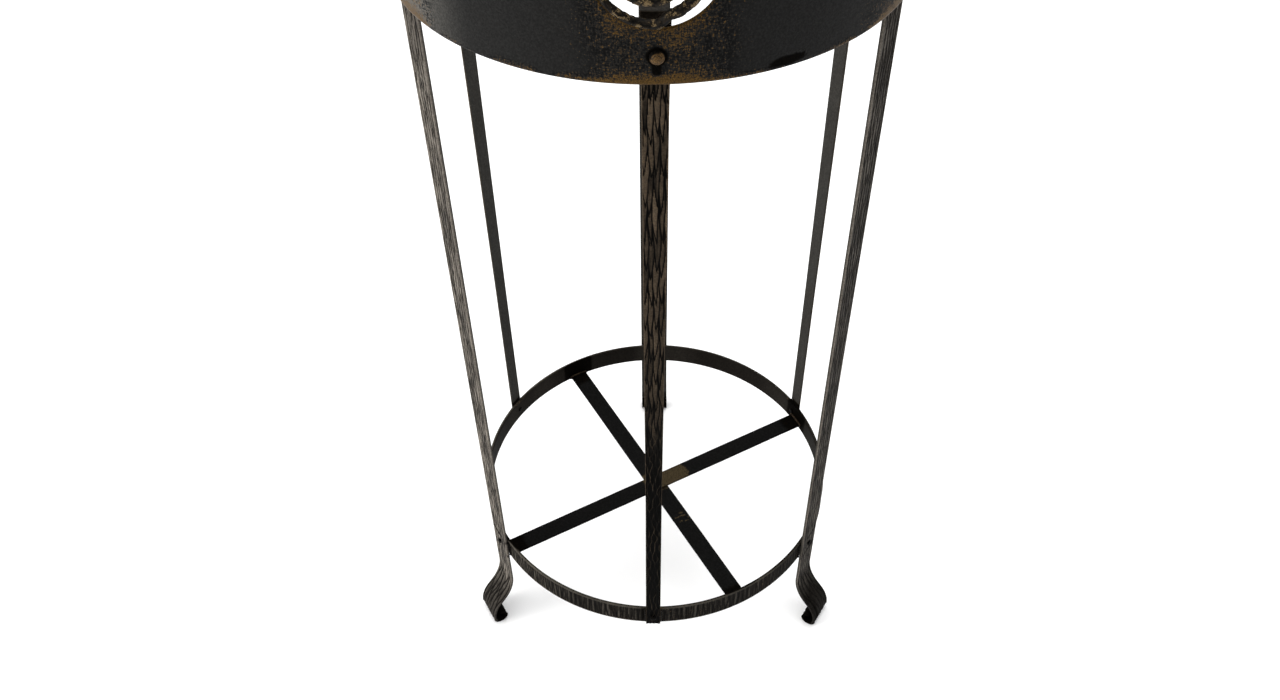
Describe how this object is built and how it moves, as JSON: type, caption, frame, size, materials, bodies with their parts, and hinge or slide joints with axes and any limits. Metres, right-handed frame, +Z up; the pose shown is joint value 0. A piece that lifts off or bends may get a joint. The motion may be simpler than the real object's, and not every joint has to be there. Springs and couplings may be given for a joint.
{
  "type": "plant stand",
  "caption": "Tall round iron plant stand: pierced sheet band with rod scrolls, flat uprights, curled feet and a crossed lower ring.",
  "frame": {"origin": "on the floor, on the stand's own vertical axis, within 4 mm of the centre of its footprint's bounding box", "axes": "+Z up along the stand's axis; -Y is the front, through the narrow front upright; +Y is the back, through the back leg; +X is to the right seen from the front"},
  "size_m": [0.2542, 0.2659, 0.5885],
  "materials": {
    "band": "black painted sheet iron with worn bronze-gold rub",
    "hoop": "dark brown-black, embossed streaks outside, smooth inside",
    "crossbar": "smooth near-black with a worn bronze patch at the crossing",
    "bark_bar": "black with bronze rub on an embossed bark pattern",
    "scroll_rod": "textured rod, black with bronze-gold rub",
    "rivet": "domed heads rubbed to bronze"
  },
  "bodies": {
    "root": {"apron_band": "band", "lower_ring": "hoop", "crossbar_upper": "crossbar", "crossbar_lower": "crossbar", "leg_back": "bark_bar", "leg_front_left": "bark_bar", "leg_front_right": "bark_bar", "upright_front": "bark_bar", "upright_back_left": "bark_bar", "upright_back_right": "bark_bar", "scroll_back": "scroll_rod", "scroll_front_left": "scroll_rod", "scroll_front_right": "scroll_rod", "scroll_back_left": "scroll_rod", "scroll_back_right": "scroll_rod", "scroll_front": "scroll_rod", "band_rivet_back": "rivet", "band_rivet_front_left": "rivet", "band_rivet_front_right": "rivet", "band_rivet_back_left": "rivet", "band_rivet_back_right": "rivet", "band_rivet_front": "rivet", "ring_rivet_back": "rivet", "ring_rivet_front_left": "rivet", "ring_rivet_front_right": "rivet", "ring_rivet_back_left": "rivet", "ring_rivet_back_right": "rivet", "ring_rivet_front": "rivet"}
  },
  "joints": []
}
